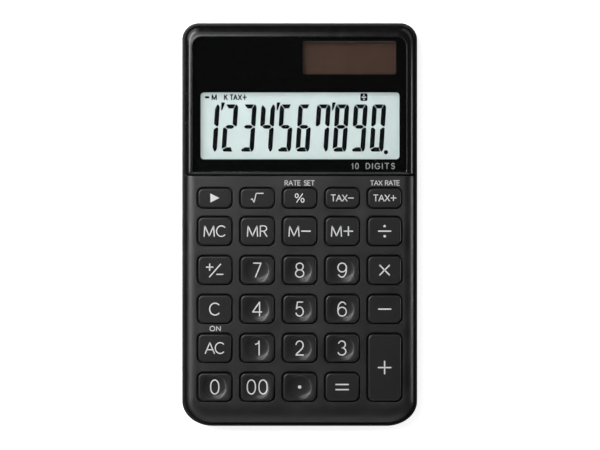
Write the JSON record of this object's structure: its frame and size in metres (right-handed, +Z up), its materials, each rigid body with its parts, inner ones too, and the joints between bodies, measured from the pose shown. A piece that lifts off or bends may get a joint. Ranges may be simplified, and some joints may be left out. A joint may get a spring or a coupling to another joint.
{
  "type": "pocket calculator",
  "caption": "Slim black pocket calculator with a glossy display end, a solar strip, and low rectangular keys that press straight down.",
  "frame": {"origin": "centre of the footprint, on the plane the four feet stand on", "axes": "+Z up out of the key tops, +Y towards the display end, +X to the user's right"},
  "size_m": [0.07, 0.12, 0.0092],
  "materials": {
    "rear_matt": "fine spark texture, matt",
    "front_matt": "fine spark texture, matt with a grey metallic sheen",
    "frame_gloss": "polished",
    "lens_clear": "clear hard-coated acrylic",
    "tape_black": "matt adhesive film",
    "mask_print": "black print on the back of the lens",
    "lcd_glass": "clear with polarising film",
    "lcd_background": "silver-grey reflective film",
    "lcd_ink": "dark liquid crystal segments",
    "holder_white": "moulded",
    "zebra_rubber": "layered elastomer",
    "solar_glass": "amorphous silicon behind glass",
    "foam_black": "closed-cell foam",
    "wire_red": "insulation",
    "wire_black": "insulation",
    "board_green": "solder mask",
    "board_contacts": "carbon ink",
    "resin_black": "cured resin",
    "capacitor_sleeve": "shrink sleeve",
    "diode_glass": "glass bead",
    "mat_rubber": "silicone, matt",
    "bright_steel": "nickel plated",
    "label_film": "satin film, blank",
    "screw_steel": "blackened",
    "foot_rubber": "matt",
    "key_black": "satin",
    "legend_print": "light grey pad print"
  },
  "bodies": {
    "case": {"rear_cover": "rear_matt", "front_case": "front_matt", "display_frame": "frame_gloss", "display_lens": "lens_clear", "lens_tape": "tape_black", "lcd_upper_glass": "lcd_glass", "lcd_lower_glass": "lcd_background", "lcd_reflector": "lcd_background", "lcd_holder": "holder_white", "zebra_strip": "zebra_rubber", "solar_cell": "solar_glass", "solar_pad": "foam_black", "solar_lead_positive": "wire_red", "solar_lead_negative": "wire_black", "main_board": "board_green", "chip_cover": "resin_black", "storage_capacitor": "capacitor_sleeve", "limiter_diode": "diode_glass", "key_mat": "mat_rubber", "battery_cell": "bright_steel", "battery_contact_positive": "bright_steel", "battery_contact_negative": "bright_steel", "rating_label": "label_film", "case_screw_1": "screw_steel", "case_screw_2": "screw_steel", "case_screw_3": "screw_steel", "case_screw_4": "screw_steel", "foot_1": "foot_rubber", "foot_2": "foot_rubber", "foot_3": "foot_rubber", "foot_4": "foot_rubber"},
    "key_right_arrow": {"key_right_arrow": "key_black"},
    "key_sqrt": {"key_sqrt": "key_black"},
    "key_percent": {"key_percent": "key_black"},
    "key_tax_minus": {"key_tax_minus": "key_black"},
    "key_tax_plus": {"key_tax_plus": "key_black"},
    "key_mc": {"key_mc": "key_black"},
    "key_mr": {"key_mr": "key_black"},
    "key_m_minus": {"key_m_minus": "key_black"},
    "key_m_plus": {"key_m_plus": "key_black"},
    "key_divide": {"key_divide": "key_black"},
    "key_sign": {"key_sign": "key_black"},
    "key_7": {"key_7": "key_black"},
    "key_8": {"key_8": "key_black"},
    "key_9": {"key_9": "key_black"},
    "key_multiply": {"key_multiply": "key_black"},
    "key_c": {"key_c": "key_black"},
    "key_4": {"key_4": "key_black"},
    "key_5": {"key_5": "key_black"},
    "key_6": {"key_6": "key_black"},
    "key_minus": {"key_minus": "key_black"},
    "key_ac": {"key_ac": "key_black"},
    "key_1": {"key_1": "key_black"},
    "key_2": {"key_2": "key_black"},
    "key_3": {"key_3": "key_black"},
    "key_plus": {"key_plus": "key_black"},
    "key_0": {"key_0": "key_black"},
    "key_00": {"key_00": "key_black"},
    "key_point": {"key_point": "key_black"},
    "key_equals": {"key_equals": "key_black"}
  },
  "joints": [
    {"name": "key_right_arrow_press", "type": "slide", "parent": "case", "child": "key_right_arrow", "axis": [0, 0, -1], "range_m": [0, 0.0008], "stiffness_N_per_m": 500, "springref_m": -0.0004, "deforming": ["key_mat"]},
    {"name": "key_sqrt_press", "type": "slide", "parent": "case", "child": "key_sqrt", "axis": [0, 0, -1], "range_m": [0, 0.0008], "stiffness_N_per_m": 500, "springref_m": -0.0004, "deforming": ["key_mat"]},
    {"name": "key_percent_press", "type": "slide", "parent": "case", "child": "key_percent", "axis": [0, 0, -1], "range_m": [0, 0.0008], "stiffness_N_per_m": 500, "springref_m": -0.0004, "deforming": ["key_mat"]},
    {"name": "key_tax_minus_press", "type": "slide", "parent": "case", "child": "key_tax_minus", "axis": [0, 0, -1], "range_m": [0, 0.0008], "stiffness_N_per_m": 500, "springref_m": -0.0004, "deforming": ["key_mat"]},
    {"name": "key_tax_plus_press", "type": "slide", "parent": "case", "child": "key_tax_plus", "axis": [0, 0, -1], "range_m": [0, 0.0008], "stiffness_N_per_m": 500, "springref_m": -0.0004, "deforming": ["key_mat"]},
    {"name": "key_mc_press", "type": "slide", "parent": "case", "child": "key_mc", "axis": [0, 0, -1], "range_m": [0, 0.0008], "stiffness_N_per_m": 500, "springref_m": -0.0004, "deforming": ["key_mat"]},
    {"name": "key_mr_press", "type": "slide", "parent": "case", "child": "key_mr", "axis": [0, 0, -1], "range_m": [0, 0.0008], "stiffness_N_per_m": 500, "springref_m": -0.0004, "deforming": ["key_mat"]},
    {"name": "key_m_minus_press", "type": "slide", "parent": "case", "child": "key_m_minus", "axis": [0, 0, -1], "range_m": [0, 0.0008], "stiffness_N_per_m": 500, "springref_m": -0.0004, "deforming": ["key_mat"]},
    {"name": "key_m_plus_press", "type": "slide", "parent": "case", "child": "key_m_plus", "axis": [0, 0, -1], "range_m": [0, 0.0008], "stiffness_N_per_m": 500, "springref_m": -0.0004, "deforming": ["key_mat"]},
    {"name": "key_divide_press", "type": "slide", "parent": "case", "child": "key_divide", "axis": [0, 0, -1], "range_m": [0, 0.0008], "stiffness_N_per_m": 500, "springref_m": -0.0004, "deforming": ["key_mat"]},
    {"name": "key_sign_press", "type": "slide", "parent": "case", "child": "key_sign", "axis": [0, 0, -1], "range_m": [0, 0.0008], "stiffness_N_per_m": 500, "springref_m": -0.0004, "deforming": ["key_mat"]},
    {"name": "key_7_press", "type": "slide", "parent": "case", "child": "key_7", "axis": [0, 0, -1], "range_m": [0, 0.0008], "stiffness_N_per_m": 500, "springref_m": -0.0004, "deforming": ["key_mat"]},
    {"name": "key_8_press", "type": "slide", "parent": "case", "child": "key_8", "axis": [0, 0, -1], "range_m": [0, 0.0008], "stiffness_N_per_m": 500, "springref_m": -0.0004, "deforming": ["key_mat"]},
    {"name": "key_9_press", "type": "slide", "parent": "case", "child": "key_9", "axis": [0, 0, -1], "range_m": [0, 0.0008], "stiffness_N_per_m": 500, "springref_m": -0.0004, "deforming": ["key_mat"]},
    {"name": "key_multiply_press", "type": "slide", "parent": "case", "child": "key_multiply", "axis": [0, 0, -1], "range_m": [0, 0.0008], "stiffness_N_per_m": 500, "springref_m": -0.0004, "deforming": ["key_mat"]},
    {"name": "key_c_press", "type": "slide", "parent": "case", "child": "key_c", "axis": [0, 0, -1], "range_m": [0, 0.0008], "stiffness_N_per_m": 500, "springref_m": -0.0004, "deforming": ["key_mat"]},
    {"name": "key_4_press", "type": "slide", "parent": "case", "child": "key_4", "axis": [0, 0, -1], "range_m": [0, 0.0008], "stiffness_N_per_m": 500, "springref_m": -0.0004, "deforming": ["key_mat"]},
    {"name": "key_5_press", "type": "slide", "parent": "case", "child": "key_5", "axis": [0, 0, -1], "range_m": [0, 0.0008], "stiffness_N_per_m": 500, "springref_m": -0.0004, "deforming": ["key_mat"]},
    {"name": "key_6_press", "type": "slide", "parent": "case", "child": "key_6", "axis": [0, 0, -1], "range_m": [0, 0.0008], "stiffness_N_per_m": 500, "springref_m": -0.0004, "deforming": ["key_mat"]},
    {"name": "key_minus_press", "type": "slide", "parent": "case", "child": "key_minus", "axis": [0, 0, -1], "range_m": [0, 0.0008], "stiffness_N_per_m": 500, "springref_m": -0.0004, "deforming": ["key_mat"]},
    {"name": "key_ac_press", "type": "slide", "parent": "case", "child": "key_ac", "axis": [0, 0, -1], "range_m": [0, 0.0008], "stiffness_N_per_m": 500, "springref_m": -0.0004, "deforming": ["key_mat"]},
    {"name": "key_1_press", "type": "slide", "parent": "case", "child": "key_1", "axis": [0, 0, -1], "range_m": [0, 0.0008], "stiffness_N_per_m": 500, "springref_m": -0.0004, "deforming": ["key_mat"]},
    {"name": "key_2_press", "type": "slide", "parent": "case", "child": "key_2", "axis": [0, 0, -1], "range_m": [0, 0.0008], "stiffness_N_per_m": 500, "springref_m": -0.0004, "deforming": ["key_mat"]},
    {"name": "key_3_press", "type": "slide", "parent": "case", "child": "key_3", "axis": [0, 0, -1], "range_m": [0, 0.0008], "stiffness_N_per_m": 500, "springref_m": -0.0004, "deforming": ["key_mat"]},
    {"name": "key_plus_press", "type": "slide", "parent": "case", "child": "key_plus", "axis": [0, 0, -1], "range_m": [0, 0.0008], "stiffness_N_per_m": 500, "springref_m": -0.0004, "deforming": ["key_mat"]},
    {"name": "key_0_press", "type": "slide", "parent": "case", "child": "key_0", "axis": [0, 0, -1], "range_m": [0, 0.0008], "stiffness_N_per_m": 500, "springref_m": -0.0004, "deforming": ["key_mat"]},
    {"name": "key_00_press", "type": "slide", "parent": "case", "child": "key_00", "axis": [0, 0, -1], "range_m": [0, 0.0008], "stiffness_N_per_m": 500, "springref_m": -0.0004, "deforming": ["key_mat"]},
    {"name": "key_point_press", "type": "slide", "parent": "case", "child": "key_point", "axis": [0, 0, -1], "range_m": [0, 0.0008], "stiffness_N_per_m": 500, "springref_m": -0.0004, "deforming": ["key_mat"]},
    {"name": "key_equals_press", "type": "slide", "parent": "case", "child": "key_equals", "axis": [0, 0, -1], "range_m": [0, 0.0008], "stiffness_N_per_m": 500, "springref_m": -0.0004, "deforming": ["key_mat"]}
  ]
}
